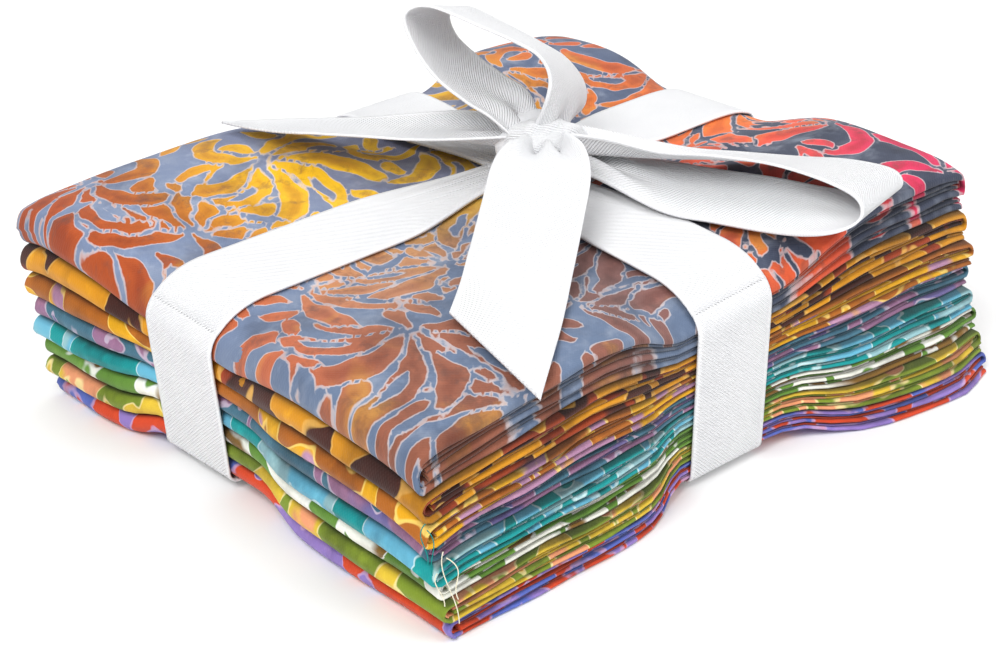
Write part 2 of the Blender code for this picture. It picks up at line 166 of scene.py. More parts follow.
def settle(x, y, z):
    level = np.clip(z / PILE_HEIGHT, 0.0, 1.0)
    base = base_height(x, y)
    share = (1.0 - TOP_LOFT) * level + TOP_LOFT * level ** LOFT_POWER
    height = base + (top_height(x, y) - base) * share + (z - level * PILE_HEIGHT)
    height = height - shoulder_drop(x, y) * level ** EDGE_POWER
    foot_x, foot_y = of_side(x, y, "foot")
    top_x, top_y = of_side(x, y, "top")
    waist_x = foot_x + (top_x - foot_x) * level
    waist_y = foot_y + (top_y - foot_y) * level
    draw_x = beside(y - RIBBON_Y) * waist_x * np.abs(x / HALF_LENGTH) ** EDGE_POWER
    draw_y = beside(x - RIBBON_X) * waist_y * np.abs(y / HALF_WIDTH) ** EDGE_POWER
    at_corner = ease((x - FLARE_CORNER) / FLARE_CORNER_RUN)
    slid = ease((x - FLARE_FROM) / FLARE_RUN) * (1.0 - 0.5 * at_corner)
    flare = FLARE * (1.0 - level) ** 2 * slid * np.clip(-y / HALF_WIDTH, 0.0, 1.0)
    slant_x = SLANT_X * y * (1.0 - ease((np.abs(x - RIBBON_X) - PLATEAU) / SLANT_FADE_X))
    slant_y = SLANT_Y * x * (1.0 - ease((np.abs(y - RIBBON_Y) - PLATEAU) / SLANT_FADE_Y))
    lean = 1.0 - 2.0 * level
    moved_x = x - np.copysign(draw_x, x) + slant_x + LEAN[0] * lean
    moved_y = y - np.copysign(draw_y, y) + slant_y + LEAN[1] * lean - flare
    return np.stack(np.broadcast_arrays(moved_x, moved_y, height), axis=-1) + CENTRING


print("pile at its middle: %.1f mm high" % (1000 * float(top_height(0.0, 0.0))))

# %% [markdown]
# ## The eight quarters
#
# Each row is one quarter, from the bottom up: how far it stands proud of the square pile on
# each side, its number in the pile, and the dyes of its batik. A batik has a ground, one or
# two figure colours, and a paler line where the wax stopped the dye.


# %% A table of quarters and their dyes
def dye(red, green, blue):
    """A colour as a printer names it, 0 to 255, turned into the linear light that shaders use."""
    return tuple((channel / 255.0) ** 2.2 for channel in (red, green, blue))


Quarter = namedtuple("Quarter", "node slot left right front back ground figure second line")
QUARTERS = (
    Quarter("fat_quarter_1", "batik_lavender", -0.0008, 0.0012, 0.0004, -0.0006,
            dye(142, 118, 190), dye(206, 68, 34), dye(88, 106, 190), dye(196, 164, 206)),
    Quarter("fat_quarter_2", "batik_peach", 0.0006, 0.0004, 0.0010, 0.0006,
            dye(222, 186, 54), dye(122, 142, 42), dye(232, 152, 108), dye(248, 228, 160)),
    Quarter("fat_quarter_3", "batik_cream", -0.0004, 0.0013, -0.0004, 0.0002,
            dye(236, 236, 224), dye(96, 138, 52), dye(128, 94, 38), dye(250, 250, 244)),
    Quarter("fat_quarter_4", "batik_aqua", 0.0012, -0.0006, 0.0008, 0.0010,
            dye(98, 176, 204), dye(14, 146, 146), dye(146, 190, 196), dye(206, 234, 236)),
    Quarter("fat_quarter_5", "batik_mauve", 0.0002, 0.0008, -0.0008, -0.0006,
            dye(146, 106, 138), dye(66, 108, 128), dye(104, 96, 146), dye(196, 180, 200)),
    Quarter("fat_quarter_6", "batik_gold", 0.0010, 0.0012, 0.0010, 0.0004,
            dye(222, 162, 20), dye(168, 96, 28), dye(178, 132, 164), dye(248, 214, 112)),
    Quarter("fat_quarter_7", "batik_chocolate", 0.0004, 0.0002, 0.0004, 0.0010,
            dye(66, 32, 24), dye(206, 138, 22), dye(150, 60, 26), dye(226, 172, 84)),
    Quarter("fat_quarter_8", "batik_slate", 0.0000, -0.0004, -0.0002, 0.0000,
            dye(92, 108, 138), dye(176, 84, 36), dye(206, 150, 60), dye(196, 190, 194)),
)
print(len(QUARTERS), "quarters")

# %% [markdown]
# ## Folding a quarter
#
# The cloth is folded twice. The first fold makes a strip of three plies: seen from its end,
# one ply lies outside, the second runs back under it, and the third closes over from the
# other side. The second fold lays that strip in three, with a tall round fold on the left.
# Both folds are curves of places with an outward direction, so a point of the flat cloth is
# found by going along one curve and then across the other.


# %% Curves of places, outward directions and distance along the cloth
Place = namedtuple("Place", "along level out_along out_level")


def round_fold(along, level, radius, start, stop, steps):
    angles = np.radians(np.linspace(start, stop, steps + 1))
    return [Place(along + radius * math.cos(a), level + radius * math.sin(a), math.cos(a), math.sin(a))
            for a in angles]


def straight(stops, level, out_level):
    return [Place(float(stop), level, 0.0, out_level) for stop in stops]


def cloth_lines(start, stop, step, fine):
    """Lines across a panel: a step apart, with fine ones near both ends."""
    count = max(2, int(round(abs(stop - start) / step)))
    lines = list(np.linspace(start, stop, count + 1))
    way = math.copysign(1.0, stop - start)
    ends = [start + way * d for d in fine] + [stop - way * d for d in fine]
    return sorted(set(round(v, 6) for v in lines + ends), reverse=stop < start)


def distances(places):
    """How far along the cloth each place is."""
    steps = [0.0] + [math.hypot(b.along - a.along, b.level - a.level) for a, b in zip(places, places[1:])]
    return np.cumsum(steps)


HIDDEN_STEP = 0.006
FREE_EDGE_SHORT = 0.0012
INNER_EDGE_SHORT = 0.0006
FREE_PLY_SHORT = 0.0016
INNER_PLY_SHORT = 0.0002


def three_strips(bottom, step, fine):
    """The second fold, seen from the front of the pile."""
    low = bottom + 0.5 * STRIP
    middle = low + STRIP_STEP
    high = middle + STRIP_STEP
    left = -HALF_LENGTH + STRIP_STEP + 0.5 * STRIP
    right = HALF_LENGTH - 0.5 * STRIP_STEP - 0.5 * STRIP
    free_end = HALF_LENGTH - FREE_EDGE_SHORT
    inner_end = left + INNER_EDGE_SHORT
    places = straight(cloth_lines(free_end, left, max(step, HIDDEN_STEP), fine), low, -1.0)[:-1]
    places += round_fold(left, middle, STRIP_STEP, 270, 90, 12)
    places += straight(cloth_lines(left, right, step, fine), high, 1.0)[1:-1]
    places += round_fold(right, 0.5 * (middle + high), 0.5 * STRIP_STEP, 90, -90, 8)
    places += straight(cloth_lines(right, inner_end, max(step, HIDDEN_STEP), fine), middle, -1.0)[1:]
    return places


def three_plies(step, fine):
    """The first fold, seen from the end of a strip; level is out from the strip's middle."""
    hidden = max(step, 2.0 * HIDDEN_STEP)
    near = -HALF_WIDTH + 0.5 * PLY_STEP
    far = HALF_WIDTH - PLY_STEP
    places = straight(cloth_lines(HALF_WIDTH - FREE_PLY_SHORT, near, hidden, fine), 0.0, -1.0)[:-1]
    places += round_fold(near, 0.5 * PLY_STEP, 0.5 * PLY_STEP, 270, 90, 6)
    places += straight(cloth_lines(near, far, step, fine), PLY_STEP, 1.0)[1:-1]
    places += round_fold(far, 0.0, PLY_STEP, 90, -90, 8)
    inner_end = -HALF_WIDTH + INNER_PLY_SHORT
    places += straight(cloth_lines(far, inner_end, hidden, fine), -PLY_STEP, -1.0)[1:]
    return places


FINE_ENDS = (0.0006, 0.0016, 0.0034, 0.0065)
print("a quarter's edge has", len(three_plies(0.004, FINE_ENDS)), "places")

# %% [markdown]
# Real folded cloth is never even. The edges stand a little in or out from ply to ply, the
# whole pile has slow waves, and the top panel has soft creases that run out from the ribbon.
# The creases are listed, one row each.

# %% Unevenness: edges, slow waves and the creases of the top panel
Crease = namedtuple("Crease", "x y to_x to_y width depth")
CREASES = (
    Crease(-0.010, -0.012, -0.060, -0.046, 0.0060, 0.0008),
    Crease(0.000, -0.020, -0.022, -0.066, 0.0050, 0.0009),
    Crease(-0.012, 0.026, -0.066, 0.052, 0.0070, 0.0007),
    Crease(0.002, 0.030, -0.020, 0.072, 0.0050, 0.0007),
    Crease(0.034, -0.010, 0.078, -0.040, 0.0060, 0.0008),
    Crease(0.030, 0.030, 0.070, 0.060, 0.0070, 0.0007),
    Crease(-0.090, -0.030, -0.030, -0.070, 0.0090, -0.0006),
    Crease(-0.086, 0.040, -0.050, 0.074, 0.0090, -0.0006),
)


def waves(a, b, seed):
    """A slow, uneven wave between -1 and 1."""
    first = np.sin(a * 0.7 + 1.7 * seed) + np.sin(a * 1.31 + b + 2.3 * seed)
    return (first + 0.7 * np.sin(a * 2.17 - b * 1.4 + 0.9 * seed)) / 2.7


def crease_depth(x, y):
    """How far the creases move the top panel down at a place."""
    total = np.zeros(np.broadcast(x, y).shape)
    for row in CREASES:
        run_x, run_y = row.to_x - row.x, row.to_y - row.y
        length = math.hypot(run_x, run_y)
        t = ((x - row.x) * run_x + (y - row.y) * run_y) / length ** 2
        off = ((x - row.x) * run_y - (y - row.y) * run_x) / length
        bend = 0.004 * np.sin(3.0 * t + 40.0 * row.x)
        fades = ease(t * 4.0) * ease((1.0 - t) * 2.5)
        total = total + row.depth * np.exp(-((off - bend) / row.width) ** 2) * fades
    return total


def hold(x, y):
    """0 under the ribbon, 1 well away from it."""
    return (1.0 - beside(y - RIBBON_Y)) * (1.0 - beside(x - RIBBON_X))


def rumple(x, y, z):
    """Slow waves through the whole pile, and the creases of its top."""
    level = np.clip(z / PILE_HEIGHT, 0.0, 1.0)
    inside = 4.0 * level * (1.0 - level)
    wave = 0.0009 * waves(x * 95.0 + y * 60.0, z * 110.0, 1.0) * inside
    return z + wave * (0.25 + 0.75 * hold(x, y)) - crease_depth(x, y) * level ** 6


def rim_share(position, half):
    return np.clip(1.0 - (half - np.abs(position)) / RIM, 0.0, 1.3)


def edges_proud(x, y, quarter, seed, ply):
    """Moves the edges of a quarter in and out, ply by ply."""
    front_wave = 0.0005 * waves(x * 120.0, ply * 2.0, seed) - 0.0003 * ply
    side_wave = 0.0004 * waves(y * 110.0, 0.0, seed + 3.0)
    side_x = np.where(x > 0, quarter.right, -quarter.left) + side_wave
    side_y = np.where(y > 0, quarter.back, -quarter.front - front_wave)
    free_x = 1.0 - beside(y - RIBBON_Y)
    free_y = 1.0 - beside(x - RIBBON_X)
    return x + side_x * rim_share(x, HALF_LENGTH) * free_x, y + side_y * rim_share(y, HALF_WIDTH) * free_y


print(len(CREASES), "creases on the top panel")


# %% [markdown]
# A thin closed sheet has an outer and an inner skin, and a rim that joins them. The same small
# helper closes the cloth and, later, the ribbon.

# %% Closed sheets from two skins, and quarters from the two folds
def closed_sheet(name, outer, inner, flat):
    """A mesh from two grids of points, rows by columns; flat holds each point's place on the cloth."""
    rows, columns = outer.shape[:2]
    points = np.concatenate((outer.reshape(-1, 3), inner.reshape(-1, 3)))
    index = np.arange(rows * columns).reshape(rows, columns)
    below = index + rows * columns
    a, b, c, d = index[:-1, :-1], index[:-1, 1:], index[1:, 1:], index[1:, :-1]
    faces = [np.stack((a, b, c, d), axis=-1).reshape(-1, 4)]
    a, b, c, d = below[:-1, :-1], below[1:, :-1], below[1:, 1:], below[:-1, 1:]
    faces.append(np.stack((a, b, c, d), axis=-1).reshape(-1, 4))
    for top, bottom in ((index[0], below[0]), (index[-1][::-1], below[-1][::-1]),
                        (index[:, -1], below[:, -1]), (index[::-1, 0], below[::-1, 0])):
        faces.append(np.stack((top[:-1], bottom[:-1], bottom[1:], top[1:]), axis=-1))
    mesh = bpy.data.meshes.new(name)
    mesh.from_pydata(points.tolist(), [], np.concatenate(faces).tolist())
    uv_layer = mesh.uv_layers.new(name="flat")
    corner_points = np.empty(len(mesh.loops), dtype=np.int32)
    mesh.loops.foreach_get("vertex_index", corner_points)
    places = np.concatenate((flat.reshape(-1, 2), flat.reshape(-1, 2)))
    uv_layer.data.foreach_set("uv", places[corner_points].astype(np.float32).ravel())
    mesh.polygons.foreach_set("use_smooth", np.ones(len(mesh.polygons), dtype=bool))
    sheet = bmesh.new()
    sheet.from_mesh(mesh)
    bmesh.ops.recalc_face_normals(sheet, faces=sheet.faces)
    sheet.to_mesh(mesh)
    sheet.free()
    piece = bpy.data.objects.new(name, mesh)
    bpy.context.scene.collection.objects.link(piece)
    return piece


def keep_on_mesh(piece, name, kind, values):
    """Stores one value for each point of the outer skin, and again for the inner one."""
    layer = piece.data.attributes.new(name, kind, "POINT")
    both = np.concatenate((values.reshape(-1), values.reshape(-1))).astype(np.float32)
    layer.data.foreach_set("value" if kind == "FLOAT" else "color", both)


# Painted shade: the cloth's colour is darkened in the narrow gaps between quarters, strips and plies, where
# their shadow falls; these are the widths of those dark bands.
GAP_SHADOW_WIDTH = 0.00045
PLY_GAP_SHADOW_WIDTH = 0.00015
FOLD_REACH = 0.004


def gap_shadows(x, z, out):
    """Painted shade: less than 1 in the gaps between quarters, between strips and between plies, where shadow
    falls.
    """
    nearest = np.round((z + 0.5 * STRIP_GAP) / STRIP_STEP)
    away = z + 0.5 * STRIP_GAP - nearest * STRIP_STEP
    between_quarters = np.mod(nearest, THIRDS) == 0
    under_fold = (x < -HALF_LENGTH + FOLD_REACH) & ~between_quarters
    outer = (nearest < 0.5) | (nearest > PILE_QUARTERS * THIRDS - 0.5) | under_fold
    # Painted shadow in each gap: darkest between quarters, none at the pile's top and bottom, and near the
    # left fold only between quarters.
    depth = np.where(outer, 0.0, np.where(between_quarters, 0.85, 0.60)) * np.exp(-(away / GAP_SHADOW_WIDTH) ** 2)
    # Painted shadow between the plies of each strip, left off the left fold and the top face.
    ply = 0.40 * np.exp(-((out + 0.5 * PLY_STEP) / PLY_GAP_SHADOW_WIDTH) ** 2) * (x > -HALF_LENGTH + FOLD_REACH)
    top_face = z > PILE_HEIGHT - 0.5 * PLY
    return (1.0 - depth) * (1.0 - np.where(top_face, 0.0, ply))


def folded_cloth(index, step):
    """One quarter as thin cloth: the piece, and where each point is in the panel."""
    quarter = QUARTERS[index]
    strips = three_strips(index * QUARTER_STEP, step, FINE_ENDS)
    plies = three_plies(step, FINE_ENDS)
    along, across = np.meshgrid(distances(strips), distances(plies))
    flat = np.stack((along, across), axis=-1)
    s_along, s_level, s_out_along, s_out_level = (np.array(v)[None, :] for v in zip(*strips))
    p_along, p_level, p_out_along, p_out_level = (np.array(v)[:, None] for v in zip(*plies))
    skins = []
    shades = []
    for side in (0.5, -0.5):
        y = p_along + side * PLY * p_out_along
        out = p_level + side * PLY * p_out_level
        x = s_along + out * s_out_along
        z = s_level + out * s_out_level
        x, y, z = np.broadcast_arrays(x, y, z)
        # The painted shade of the gaps, worked out from the places in the loose pile.
        shades.append(gap_shadows(x, z, np.broadcast_to(out, x.shape)))
        strip_seed = index * 3.1 + np.round(s_level / STRIP_STEP) * 1.3
        x, y = edges_proud(x, y, quarter, strip_seed, np.where(p_level < -0.5 * PLY_STEP, 1.0, 0.0))
        skins.append(settle(x, y, rumple(x, y, z)))
    piece = closed_sheet(quarter.node + "_cloth", skins[0], skins[1], flat)
    # The painted shade is kept on the mesh; the material darkens the colour by it.
    keep_on_mesh(piece, "shade", "FLOAT", shades[0])
    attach(piece, "root")
    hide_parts(quarter.node)
    return piece, np.broadcast_to(s_along, along.shape), np.broadcast_to(p_along, along.shape)


TOP_STEP = 0.00125
PILE_STEP = 0.0040
cloths = [folded_cloth(k, TOP_STEP if k == PILE_QUARTERS - 1 else PILE_STEP) for k in range(PILE_QUARTERS)]
for piece, _, _ in cloths:
    print(piece.name, len(piece.data.polygons), "faces")

# %% [markdown]
# ## The print of the top quarter
#
# Its figure is an ordinary one of curling leaves: fans of comma-shaped leaves that leave one
# root, with a narrow slit of ground in every second leaf, and small drops in what stays bare.
# Each leaf lies over the ones before it and keeps a little ground round it.
#
# Each comma is a row of circles along an arc that tightens. For every point of the cloth the
# script works out how far it is from the nearest edge of the figure, and keeps that number on
# the mesh. The material turns it into a crisp edge with a pale line.

# %% Fans of leaves with a slit in each, in a half-drop repeat with a turn for each
Comma = namedtuple("Comma", "x y heading length bend width")
REPEAT = (0.040, 0.037)
LEAVES_EACH_SIDE = 3
ROOT_GAP = 0.0030
PRINT_MARGIN = 0.016
SPARE_STEP = 0.0065
SPARE_GAP = 0.0030
LEAF_GAP = 0.0011


def stroke(comma, count=24):
    """Circles along a comma: thin where it starts, fullest beyond the middle."""
    t = np.linspace(0.0, 1.0, count)
    headings = comma.heading + comma.bend * t ** 1.5
    step = comma.length / (count - 1)
    x = comma.x + np.concatenate(([0.0], np.cumsum(np.cos(headings[:-1]) * step)))
    y = comma.y + np.concatenate(([0.0], np.cumsum(np.sin(headings[:-1]) * step)))
    radius = 0.5 * comma.width * (0.24 + 0.76 * np.sin(np.pi * t ** 1.2) ** 0.8)
    return x, y, radius


def slit(leaf, side, first=9, last=20):
    """A narrow crescent of ground inside a leaf, a little to one side of its middle."""
    x, y, radius = (values[first:last] for values in leaf)
    run_x, run_y = np.gradient(x), np.gradient(y)
    aside = side * 0.30 * radius / np.hypot(run_x, run_y)
    t = np.linspace(0.0, 1.0, len(x))
    return x - aside * run_y, y + aside * run_x, radius * (0.14 + 0.24 * np.sin(np.pi * t) ** 0.7)


def fan(x, y, heading, flip, size):
    """Leaves that spread from one root and curl outward, with a curled foot, and their slits."""
    leaves = [stroke(Comma(x, y, heading + math.pi - 0.5 * flip, 0.026 * size, 3.0 * flip, 0.0062 * size))]
    slits = []
    for k in range(-LEAVES_EACH_SIDE, LEAVES_EACH_SIDE + 1):
        length = (0.034 - 0.0026 * abs(k) + 0.0030 * math.sin(3.0 * k + 60.0 * x)) * size
        bend = 1.5 * flip + 0.22 * k
        turn = heading + 0.52 * k
        start = x + ROOT_GAP * math.cos(turn), y + ROOT_GAP * math.sin(turn)
        leaf = stroke(Comma(*start, turn, length, bend, (0.0078 - 0.0004 * abs(k)) * size))
        leaves.append(leaf)
        if k % 2 == 0:
            slits.append(slit(leaf, 1.0 if bend > 0 else -1.0))
    return leaves, slits


def outside(x, y, strokes, gap=0.0, limit=0.020):
    """How far each place is outside the strokes, in metres; less than zero is inside.

    With a gap, each stroke lies over the ones before it and keeps that much ground round it.
    """
    edge = np.full(x.shape, limit)
    reach = 0.010
    for spine_x, spine_y, radius in strokes:
        near = np.nonzero((x > spine_x.min() - reach) & (x < spine_x.max() + reach)
                          & (y > spine_y.min() - reach) & (y < spine_y.max() + reach))
        if len(near[0]):
            away = np.hypot(x[near][:, None] - spine_x, y[near][:, None] - spine_y) - radius
            away = away.min(axis=1)
            below = np.maximum(edge[near], gap - away) if gap else edge[near]
            edge[near] = np.minimum(below, away)
    return edge


def panel_fans():
    leaves, slits = [], []
    columns = int(2 * (HALF_LENGTH + PRINT_MARGIN) / REPEAT[0]) + 2
    rows = int(2 * (HALF_WIDTH + PRINT_MARGIN) / REPEAT[1]) + 2
    for column in range(columns):
        for row in range(rows):
            x = -HALF_LENGTH - PRINT_MARGIN + REPEAT[0] * (column + 0.15 * math.sin(7.0 * row + column))
            half_drop = 0.5 * (column % 2) + 0.12 * math.sin(5.0 * column)
            y = -HALF_WIDTH - PRINT_MARGIN + REPEAT[1] * (row + half_drop)
            flip = 1.0 if (column + row) % 2 else -1.0
            size = 1.0 + 0.12 * math.sin(3.0 * column)
            more_leaves, more_slits = fan(x, y, 2.4 * column + 1.7 * row, flip, size)
            leaves += more_leaves
            slits += more_slits
    return leaves, slits


def spare_drops(leaves):
    """Small drops wherever the fans leave a bare place."""
    drops = []
    for x in np.arange(-HALF_LENGTH, HALF_LENGTH, SPARE_STEP):
        for y in np.arange(-HALF_WIDTH, HALF_WIDTH, SPARE_STEP):
            place = np.array([x]), np.array([y])
            if outside(*place, leaves)[0] > SPARE_GAP and outside(*place, drops)[0] > SPARE_GAP:
                turn = 300.0 * x + 200.0 * y
                start = x - 0.004 * math.cos(turn), y - 0.004 * math.sin(turn)
                drops.append(stroke(Comma(*start, turn, 0.010, 1.2, 0.0044)))
    return drops


LEAVES, SLITS = panel_fans()
DROPS = spare_drops(LEAVES)
top_cloth, top_x, top_y = cloths[-1]
drawn_x = top_x + 0.0004 * np.sin(top_y * 700.0 + 2.0 * np.sin(top_x * 400.0))
drawn_y = top_y + 0.0004 * np.sin(top_x * 620.0 + 2.0 * np.sin(top_y * 500.0))
figure = np.maximum(outside(drawn_x, drawn_y, LEAVES + DROPS, LEAF_GAP), -outside(drawn_x, drawn_y, SLITS))
print(len(LEAVES), "leaves; the figure covers %.0f%% of the panel" % (100 * float((figure < 0).mean())))

# %% [markdown]
# The dye of a batik is poured by hand, so it runs from rust to gold, brown and red across the
# one panel. A short table of pools, each with its middle, reach and colour, is blended into a
# smooth field for the figure, and a second one for the ground.

# %% Pools of dye, blended over the top panel
Pool = namedtuple("Pool", "x y reach colour")
FIGURE_POOLS = (
    Pool(-0.075, 0.060, 0.034, dye(164, 68, 26)),
    Pool(-0.086, 0.018, 0.028, dye(158, 70, 34)),
    Pool(-0.030, 0.046, 0.030, dye(242, 190, 16)),
    Pool(0.022, 0.060, 0.030, dye(206, 160, 34)),
    Pool(-0.086, -0.016, 0.022, dye(196, 100, 60)),
    Pool(-0.052, -0.014, 0.020, dye(190, 136, 96)),
    Pool(-0.062, -0.056, 0.032, dye(140, 84, 64)),
    Pool(-0.014, -0.050, 0.030, dye(120, 84, 80)),
    Pool(0.042, -0.062, 0.022, dye(212, 86, 44)),
    Pool(0.062, -0.028, 0.022, dye(226, 84, 60)),
    Pool(0.086, -0.062, 0.026, dye(208, 36, 88)),
    Pool(0.078, 0.006, 0.022, dye(236, 124, 36)),
    Pool(0.086, 0.052, 0.034, dye(198, 92, 50)),
)
GROUND_POOLS = (
    Pool(-0.070, 0.050, 0.050, dye(112, 126, 154)),
    Pool(-0.050, -0.050, 0.045, dye(94, 110, 136)),
    Pool(0.000, 0.060, 0.035, dye(122, 124, 150)),
    Pool(0.075, -0.045, 0.045, dye(56, 62, 80)),
    Pool(0.070, 0.050, 0.045, dye(82, 94, 120)),
)


def blended(x, y, pools):
    """The colour of the pools at each place, as red, green, blue and a full alpha."""
    total = np.zeros(x.shape + (3,))
    weight = np.full(x.shape, 1e-9)
    for pool in pools:
        share = np.exp(-((x - pool.x) ** 2 + (y - pool.y) ** 2) / pool.reach ** 2) + 1e-6
        total += share[..., None] * np.array(pool.colour)
        weight += share
    colour = total / weight[..., None]
    return np.concatenate((colour, np.ones(x.shape + (1,))), axis=-1)


keep_on_mesh(top_cloth, "figure", "FLOAT", figure * 1000.0)
keep_on_mesh(top_cloth, "figure_dye", "FLOAT_COLOR", blended(top_x, top_y, FIGURE_POOLS))
keep_on_mesh(top_cloth, "ground_dye", "FLOAT_COLOR", blended(top_x, top_y, GROUND_POOLS))
print("dye pools:", len(FIGURE_POOLS), "for the figure,", len(GROUND_POOLS), "for the ground")

# %% [markdown]
# ## Writing materials as sums
#
# A material is a network of nodes. `Wire` wraps one socket, so that a line such as
# `1 - mask * 0.5` adds the Math nodes for it. Everything else comes from `Finish.add`, which
# takes a node's type, its settings and the values of its sockets.


# %% A socket that takes part in sums
class Wire:
    def __init__(self, finish, socket):
        self.finish = finish
        self.socket = socket

    def maths(self, operation, *values):
        settings = {"operation": operation}
        return self.finish.add("ShaderNodeMath", settings, dict(enumerate((self,) + values)))

    def __add__(self, other):
        return self.maths("ADD", other)

    def __mul__(self, other):
        return self.maths("MULTIPLY", other)

    def __sub__(self, other):
        return self.maths("SUBTRACT", other)

    def __rsub__(self, other):
        return self.maths("MULTIPLY_ADD", -1.0, other)

    def __abs__(self):
        return self.maths("ABSOLUTE")

    __radd__ = __add__
    __rmul__ = __mul__

    def between(self, low, high):
        """0 at low and under, 1 at high and over, smooth in between."""
        settings = {"interpolation_type": "SMOOTHSTEP", "clamp": True}
        values = {"Value": self, "From Min": low, "From Max": high}
        return self.finish.add("ShaderNodeMapRange", settings, values)


class Finish:
    """One material and the nodes that feed its shader."""

    def __init__(self, name, **constants):
        self.material = bpy.data.materials.new(name)
        self.material.use_nodes = True
        self.tree = self.material.node_tree
        self.shader = self.tree.nodes["Principled BSDF"]
        for socket, value in constants.items():
            self.shader.inputs[socket.replace("_", " ")].default_value = value

    def put(self, socket, value):
        if isinstance(value, Wire):
            self.tree.links.new(value.socket, socket)
        elif hasattr(value, "__len__") and socket.type == "RGBA" and len(value) == 3:
            socket.default_value = (*value, 1.0)
        else:
            socket.default_value = value

    def add(self, kind, settings=None, values=None, output=0):
        node = self.tree.nodes.new(kind)
        for name, value in (settings or {}).items():
            setattr(node, name, value)
        for name, value in (values or {}).items():
            self.put(node.inputs[name], value)
        return Wire(self, node.outputs[output])

    def flat_place(self):
        """The place on the unfolded cloth, in metres."""
        return self.add("ShaderNodeUVMap", {"uv_map": "flat"})

    def kept(self, name, output=0):
        """What is kept on the mesh: a colour, or with output 2 a number."""
        return self.add("ShaderNodeAttribute", {"attribute_name": name}, None, output)

    def blend(self, share, first, second, how="MIX"):
        settings = {"data_type": "RGBA", "blend_type": how, "clamp_factor": True}
        return self.add("ShaderNodeMix", settings, {0: share, 6: first, 7: second}, output=2)

    def noise(self, place, scale, detail=3.0, roughness=0.5, distortion=0.0):
        values = {"Vector": place, "Scale": scale, "Detail": detail, "Roughness": roughness,
                  "Distortion": distortion}
        return self.add("ShaderNodeTexNoise", {"noise_dimensions": "3D"}, values)

    def feed(self, socket, value):
        self.put(self.shader.inputs[socket], value)


print("shader helpers ready")

# %% [markdown]
# ## The batik finish
#
# Batik cotton has dye that pools and mottles, and a pale line round each figure where the wax
# stood. The cotton itself is matt with a very fine weave. The quarters under the top one show
# only their folds, so their figure is a warped noise on the flat cloth, and it crosses each fold
# as print does.


# %% Batik cotton, for the noise figures and for the drawn one
WEAVE = 7400.0


def woven_bump(finish, place, extra):
    """A fine plain weave: threads both ways, with a slow unevenness."""
    parts = finish.add("ShaderNodeSeparateXYZ", None, {"Vector": place})
    across = finish.add("ShaderNodeSeparateXYZ", None, {"Vector": place}, output=1)
    warp = (parts * WEAVE).maths("SINE")
    weft = (across * WEAVE).maths("SINE")
    height = warp * weft * 0.35 + extra
    return finish.add("ShaderNodeBump", None, {"Strength": 0.30, "Distance": 0.0002, "Height": height})


def mottled(finish, place, colour, share):
    """Dye that has pooled: darker clouds and paler ones."""
    clouds = finish.noise(place, 55.0, 4.0, 0.62)
    dark = finish.blend(clouds.between(0.42, 0.72) * share, colour, (0.35, 0.33, 0.36), "MULTIPLY")
    specks = finish.noise(place, 240.0, 3.0, 0.6)
    return finish.blend(specks.between(0.52, 0.78) * (share * 0.8), dark, (0.92, 0.86, 0.80), "SOFT_LIGHT")


def cotton_finish(name):
    return Finish(name, Roughness=0.85, Specular_IOR_Level=0.25, Sheen_Weight=0.12, Sheen_Roughness=0.6)


def noise_batik(index, quarter):
    """A quarter whose figure is warped noise, different for each one."""
    finish = cotton_finish(quarter.node + "_batik")
    place = finish.flat_place()
    shift = {0: place, 1: (0.31 * index, 0.17 * index, 0.0)}
    shifted = finish.add("ShaderNodeVectorMath", {"operation": "ADD"}, shift)
    figure_noise = finish.noise(shifted, 62.0, 1.6, 0.45, 1.1)
    second_noise = finish.noise(shifted, 34.0, 2.0, 0.5, 0.6)
    edge = figure_noise - 0.50
    second_edge = second_noise - 0.52
    inside = edge.between(-0.010, 0.010)
    second_inside = second_edge.between(-0.02, 0.02)
    ground = finish.blend(second_inside, quarter.ground, quarter.second)
    colour = finish.blend(inside, ground, quarter.figure)
    line = 1.0 - abs(edge).between(0.006, 0.020)
    colour = finish.blend(line * 0.75, colour, quarter.line)
    colour = mottled(finish, shifted, colour, 0.75)
    # Painted shade: the colour is darkened in the gaps between quarters, strips and plies.
    colour = finish.blend(1.0, colour, finish.kept("shade"), "MULTIPLY")
    finish.feed("Base Color", colour)
    finish.feed("Normal", woven_bump(finish, place, second_noise * 0.5))
    return finish.material


